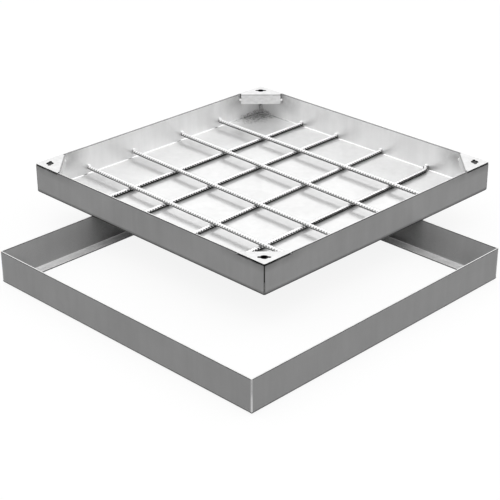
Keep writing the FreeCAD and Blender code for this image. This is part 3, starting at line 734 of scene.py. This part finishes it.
def lines(name, runs):
    """A mesh of bare edges. Each run is a list of points in the tray's axes, in millimetres."""
    points, edges = [], []
    for run in runs:
        edges += [(len(points) + i, len(points) + i + 1) for i in range(len(run) - 1)]
        points += [to_scene @ (Vector(point) * MM) for point in run]
    mesh = bpy.data.meshes.new(name)
    mesh.from_pydata(points, edges, [])
    made = bpy.data.objects.new(name, mesh)
    bpy.context.scene.collection.objects.link(made)
    return made


def new_tree(name, sizes):
    """A geometry tree with named sizes and a material as inputs, and those inputs."""
    tree = bpy.data.node_groups.new(name, "GeometryNodeTree")
    tree.interface.new_socket("Lines", in_out="INPUT", socket_type="NodeSocketGeometry")
    for size in sizes:
        tree.interface.new_socket(size, in_out="INPUT", socket_type="NodeSocketFloat")
    tree.interface.new_socket("Material", in_out="INPUT", socket_type="NodeSocketMaterial")
    tree.interface.new_socket("Result", in_out="OUTPUT", socket_type="NodeSocketGeometry")
    return tree, add(tree, "NodeGroupInput").outputs


def grown(name, tree, base, replaced, sizes):
    """Run a tree on lines, keep the result as a plain piece, and let it ride on the model."""
    modifier = base.modifiers.new("grow", "NODES")
    modifier.node_group = tree
    for socket in tree.interface.items_tree:
        if socket.in_out == "INPUT" and socket.name in sizes:
            modifier[socket.identifier] = sizes[socket.name]
    solved = base.evaluated_get(bpy.context.evaluated_depsgraph_get())
    mesh = bpy.data.meshes.new_from_object(solved)
    bpy.data.objects.remove(base)
    mesh.name = name
    mesh.shade_smooth()
    piece = bpy.data.objects.new(name, mesh)
    bpy.context.scene.collection.objects.link(piece)
    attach(piece, "root")
    if replaced:
        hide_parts(replaced)
    mesh.calc_loop_triangles()
    print(f"{name}: {len(mesh.loop_triangles)} triangles")


# %% [markdown]
# ## Cross ribs on the bars
# A ribbed bar has two rows of crescent ribs, rolled into it about every five millimetres. One
# rib is an arc around half of the bar, thick in the middle and thin at its ends. It could be
# modelled by hand and copied, but a tree lets its pitch and lean be changed in one place. The
# tree puts one rib on each point of the resampled axis, arc upwards, and another row facing down,
# half a pitch on. Real ribs are about 1 mm wide. These are drawn 2.8 mm wide, coarser than real,
# so that they still show when the whole cover is seen at once.

# %% One rib
rib_tree, given = new_tree("cross_ribs", ["Pitch", "Bar Radius", "Rib Rise", "Rib Width", "Lean"])
arc = add(rib_tree, "GeometryNodeCurveArc", {"Resolution": 9, "Radius": given["Bar Radius"],
                                             "Start Angle": 0.0, "Sweep Angle": math.pi})
part_way = add(rib_tree, "GeometryNodeSplineParameter").outputs["Factor"]
swell = add(rib_tree, "ShaderNodeMath", {0: part_way, 1: math.pi}, operation="MULTIPLY")
swell = add(rib_tree, "ShaderNodeMath", {0: swell}, operation="SINE")
swell = add(rib_tree, "ShaderNodeMapRange", {"Value": swell, "To Min": 0.6, "To Max": 1.0})
arc = add(rib_tree, "GeometryNodeSetCurveRadius", {"Curve": arc, "Radius": swell})
half_width = add(rib_tree, "ShaderNodeMath", {0: given["Rib Width"], 1: 0.5}, operation="MULTIPLY")
section = add(rib_tree, "GeometryNodeCurvePrimitiveCircle", {"Resolution": 6, "Radius": 1.0})
section_size = add(rib_tree, "ShaderNodeCombineXYZ", {"X": given["Rib Rise"], "Y": half_width,
                                                      "Z": 1.0})
section = add(rib_tree, "GeometryNodeTransform", {"Geometry": section, "Scale": section_size})
rib = add(rib_tree, "GeometryNodeCurveToMesh", {"Curve": arc, "Profile Curve": section,
                                                "Fill Caps": True})

# %% [markdown]
# The rows: each rib is turned so that its arc stands across the bar, and then leans over a
# little. The second row's points are moved half a pitch along the bar before its ribs are set.

# %% Two rows of ribs
axis = add(rib_tree, "GeometryNodeMeshToCurve", {"Mesh": given["Lines"]})
axis = add(rib_tree, "GeometryNodeResampleCurve", {"Curve": axis, "Length": given["Pitch"]},
           mode="LENGTH")
along = add(rib_tree, "GeometryNodeInputTangent")
both_rows = add(rib_tree, "GeometryNodeJoinGeometry")
for upwards, share_of_pitch in ((1.0, 0.0), (-1.0, 0.5)):
    step = add(rib_tree, "ShaderNodeMath", {0: given["Pitch"], 1: share_of_pitch},
               operation="MULTIPLY")
    step = add(rib_tree, "ShaderNodeVectorMath", {"Vector": along, "Scale": step},
               operation="SCALE")
    points = add(rib_tree, "GeometryNodeSetPosition", {"Geometry": axis, "Offset": step})
    turn = add(rib_tree, "FunctionNodeAlignRotationToVector", {"Vector": along}, axis="Z")
    turn = add(rib_tree, "FunctionNodeAlignRotationToVector", {
        "Rotation": turn, "Vector": (0.0, 0.0, upwards)}, axis="Y", pivot_axis="Z")
    lean = add(rib_tree, "ShaderNodeCombineXYZ", {"Y": given["Lean"]})
    lean = add(rib_tree, "FunctionNodeEulerToRotation", {0: lean})
    turn = add(rib_tree, "FunctionNodeRotateRotation", {"Rotation": turn, "Rotate By": lean},
               rotation_space="LOCAL")
    row = add(rib_tree, "GeometryNodeInstanceOnPoints", {"Points": points, "Instance": rib,
                                                         "Rotation": turn})
    rib_tree.links.new(row.outputs[0], both_rows.inputs[0])
real = add(rib_tree, "GeometryNodeRealizeInstances", {"Geometry": both_rows})
clad = add(rib_tree, "GeometryNodeSetMaterial", {"Geometry": real, "Material": given["Material"]})
add(rib_tree, "NodeGroupOutput", {"Result": clad})
print("rib tree:", len(rib_tree.nodes), "nodes")

# %% [markdown]
# ## Where the bars run
# The bars were laid in by hand, so each one's middle is a little off an even pitch and its two
# ends differ. The last lower bar is bent aside just before the back wall, in an arc. Each pair of
# numbers is a bar's shift off the pitch and its drift from end to end, in millimetres.

# %% Bar axes
BAR_PITCH = 91.0
BAR_END = 231.0
LOWER_LEVEL = 4.9
UPPER_LEVEL = 11.3
LOWER_BARS = [(-1.5, -3.0), (-14.5, -5.3), (-7.6, -13.8), (-1.0, -10.6)]
UPPER_BARS = [(-6.2, -7.0), (-8.2, -9.1), (3.6, -10.3), (-0.2, -3.5)]
BEND_MIDDLE = (108.65, 214.54)
BEND_RADIUS = 22.0
BEND_FROM, BEND_TO = math.radians(1.3), math.radians(48.3)
BEND_STEPS = 12


def bar_place(number, shift, drift, along):
    """How far to the side a bar's axis is, at a distance along it."""
    return (number - 1.5) * BAR_PITCH + shift + drift * along / (2 * WALL_INSIDE / MM)


def bar_axes(bars, level, crosswise):
    """The axes of a layer's bars, from end to end."""
    axes = []
    for number, bar in enumerate(bars):
        ends = [(bar_place(number, *bar, along), along, level) for along in (-BAR_END, BAR_END)]
        axes.append([(y, x, z) for x, y, z in ends] if crosswise else ends)
    return axes


lower_axes = bar_axes(LOWER_BARS, LOWER_LEVEL, False)
upper_axes = bar_axes(UPPER_BARS, UPPER_LEVEL, True)
bend_angles = [BEND_FROM + (BEND_TO - BEND_FROM) * i / BEND_STEPS for i in range(BEND_STEPS + 1)]
lower_axes[3] = [lower_axes[3][0]] + [
    (BEND_MIDDLE[0] + BEND_RADIUS * math.cos(angle),
     BEND_MIDDLE[1] + BEND_RADIUS * math.sin(angle), LOWER_LEVEL) for angle in bend_angles]
print("bars' middles, mm:", [round((axis[0][0] + axis[-1][0]) / 2) for axis in lower_axes],
      [round((axis[0][1] + axis[-1][1]) / 2) for axis in upper_axes])

# %% [markdown]
# Each layer grows its ribs from the same tree, in its own finish of painted light. On the last
# lower bar the ribs carry the painted highlight for the first two fifths only, and then the painted
# shade of its flank.

# %% Grow the ribs
rib_sizes = {"Pitch": 5.05 * MM, "Bar Radius": 2.95 * MM, "Rib Rise": 0.45 * MM,
             "Rib Width": 2.8 * MM, "Lean": math.radians(18)}
BRIGHT_PART = 0.4
last_start, *last_rest = lower_axes[3]
turning_dark = [a + BRIGHT_PART * (b - a) for a, b in zip(last_start, last_rest[0])]
bright_axes = lower_axes[:3] + [[last_start, turning_dark]]
grown("lower_bar_ribs", rib_tree, lines("lower_axes", bright_axes), None,
      {**rib_sizes, "Material": lower_rib_painted_light})
grown("last_lower_bar_ribs", rib_tree, lines("last_axis", [[turning_dark, *last_rest]]),
      None, {**rib_sizes, "Material": lower_bar_painted_light})
grown("upper_bar_ribs", rib_tree, lines("upper_axes", upper_axes), None,
      {**rib_sizes, "Material": upper_rib_painted_light})

# %% [markdown]
# ## Weld ripples
# A weld bead is a row of small pools, each frozen over the one before it. The tree sets a flat
# round drop on each step of the weld's run, swells the middle of the run, and varies the drops a
# little from a fixed seed. The new beads stand in for the plain ones of the model, in the same
# places.

# %% The tree for the ripples
ripple_tree, given = new_tree("weld_ripples", ["Step", "Bead Radius"])
run = add(ripple_tree, "GeometryNodeMeshToCurve", {"Mesh": given["Lines"]})
run = add(ripple_tree, "GeometryNodeResampleCurve", {"Curve": run, "Length": given["Step"]},
          mode="LENGTH")
drop = add(ripple_tree, "GeometryNodeMeshIcoSphere", {"Radius": given["Bead Radius"],
                                                      "Subdivisions": 2})
part_way = add(ripple_tree, "GeometryNodeSplineParameter").outputs["Factor"]
taper = add(ripple_tree, "ShaderNodeMath", {0: part_way, 1: 0.5}, operation="PINGPONG")
taper = add(ripple_tree, "ShaderNodeMapRange", {"Value": taper, "From Max": 0.5,
                                                "To Min": 0.78, "To Max": 1.0})
uneven = add(ripple_tree, "FunctionNodeRandomValue", {"Min": 0.93, "Max": 1.05, "Seed": 7},
             data_type="FLOAT")
full = add(ripple_tree, "ShaderNodeMath", {0: taper, 1: uneven}, operation="MULTIPLY")
flat = add(ripple_tree, "ShaderNodeMath", {0: full, 1: 0.5}, operation="MULTIPLY")
shape = add(ripple_tree, "ShaderNodeCombineXYZ", {"X": full, "Y": full, "Z": flat})
along = add(ripple_tree, "GeometryNodeInputTangent")
turn = add(ripple_tree, "FunctionNodeAlignRotationToVector", {"Vector": along}, axis="Z")
bead = add(ripple_tree, "GeometryNodeInstanceOnPoints", {"Points": run, "Instance": drop,
                                                         "Rotation": turn, "Scale": shape})
real = add(ripple_tree, "GeometryNodeRealizeInstances", {"Geometry": bead})
clad = add(ripple_tree, "GeometryNodeSetMaterial", {"Geometry": real,
                                                    "Material": given["Material"]})
add(ripple_tree, "NodeGroupOutput", {"Result": clad})
print("ripple tree:", len(ripple_tree.nodes), "nodes")

# %% [markdown]
# ## The weld runs
# There is a short run across the top of each bar end, along the wall; an upright run at each end of
# each lifting corner's flange; and a longer upright run in the foot of each of the tray's corner
# seams. Above that, a thin root closes the seam up to the lifting corner: no light comes through
# the real seams. The root is painted nearly black, as painted shade in the seam.

# %% Runs at the bars' ends
TACK_HALF, TACK_WALL, TACK_RISE = 1.9, 233.3, 3.6


def tacks(axes, crosswise):
    """The runs across the tops of the bars' ends."""
    runs = []
    for side, end in ((-1, 0), (1, -1)):
        for axis in axes:
            x, y, z = axis[end]
            steps = (-TACK_HALF, TACK_HALF)
            runs.append([(side * TACK_WALL, y + step, z + TACK_RISE) for step in steps]
                        if crosswise else
                        [(x + step, side * TACK_WALL, z + TACK_RISE) for step in steps])
    return runs


lower_tacks = tacks(lower_axes, False)
upper_tacks = tacks(upper_axes, True)
print(len(lower_tacks) + len(upper_tacks), "runs at the bars' ends")

# %% [markdown]
# The four corners are alike, so their runs are set out once and turned by a quarter each time.
# The plate's leg, its bend and the sheet's thickness say where the flange's ends are.

# %% Runs in the corners
SHEET, PLATE_LEG, PLATE_BEND = 1.5, 52.0, 2.5
PLATE_DEPTH = PLATE_LEG * DIAGONAL
FLANGE_MIDDLE = PLATE_DEPTH + PLATE_BEND - SHEET / 2
FLANGE_HALF = PLATE_DEPTH + 1.0 - SHEET * math.sqrt(2) - SHEET
FLANGE_HEIGHTS = (34.7, 37.3)
SEAM_AT, SEAM_HEIGHTS = -232.9, (2.7, 18.3)
ROOT_AT, ROOT_HEIGHTS = -234.1, (19.5, 43.3)
tip_at = -TRAY_HALF / MM
corner_runs, seam_runs, root_runs = [], [], []
for quarter in range(4):
    turn = Matrix.Rotation(math.radians(90 * quarter), 4, "Z")
    inwards = Matrix.Rotation(math.radians(90 * quarter + 45), 4, "Z")
    for side in (-1, 1):
        end = turn @ Vector((tip_at, tip_at, 0.0))
        end += inwards @ Vector((FLANGE_MIDDLE, side * FLANGE_HALF, 0.0))
        corner_runs.append([(end.x, end.y, z) for z in FLANGE_HEIGHTS])
    seam = turn @ Vector((SEAM_AT, SEAM_AT, 0.0))
    seam_runs.append([(seam.x, seam.y, z) for z in SEAM_HEIGHTS])
    root = turn @ Vector((ROOT_AT, ROOT_AT, 0.0))
    root_runs.append([(root.x, root.y, z) for z in ROOT_HEIGHTS])
print(len(corner_runs), "runs on the flanges,", len(seam_runs), "in the seams")

# %% [markdown]
# One tree serves for all of the beads. Only their size and finish differ.

# %% Grow the beads
bar_bead = {"Step": 0.75 * MM, "Bead Radius": 2.25 * MM, "Material": weld_metal}
corner_bead = {"Step": 0.75 * MM, "Bead Radius": 2.45 * MM, "Material": weld_metal}
seam_bead = {"Step": 0.75 * MM, "Bead Radius": 2.45 * MM, "Material": scaled_weld}
root_bead = {"Step": 0.8 * MM, "Bead Radius": 1.2 * MM, "Material": seam_root_shade}
grown("lower_bar_weld_beads", ripple_tree, lines("lower_tacks", lower_tacks),
      "lower_bar_welds", bar_bead)
grown("upper_bar_weld_beads", ripple_tree, lines("upper_tacks", upper_tacks),
      "upper_bar_welds", bar_bead)
grown("lifting_corner_weld_beads", ripple_tree, lines("corner_runs", corner_runs),
      "lifting_corner_welds", corner_bead)
grown("tray_seam_weld_beads", ripple_tree, lines("seam_runs", seam_runs),
      "tray_seam_welds", seam_bead)
grown("tray_seam_roots", ripple_tree, lines("root_runs", root_runs), None, root_bead)

# %% [markdown]
# ## Dress the sheets and bars
# The CAD nodes keep their shapes. Each gets its material through its object's slot.

# %% Give every node its finish
finishes = {"frame_rail": frame_zinc, "frame_corner_weld": dressed_weld, "tray_pan": tray_zinc,
            "lifting_corner_weld": weld_metal, "lifting_corner": plate_zinc,
            "lower_bar_welds": weld_metal, "upper_bar_welds": weld_metal,
            "tray_seam_welds": scaled_weld, "lower_bar": lower_bar_painted_light,
            "upper_bar": upper_bar_painted_light}
for name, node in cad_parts.items():
    finish = next(finishes[start] for start in finishes if name.startswith(start))
    if not node.material_slots:
        node.data.materials.append(finish)
    for slot in node.material_slots:
        slot.link = "OBJECT"
        slot.material = finish
print("dressed", len(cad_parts), "nodes")
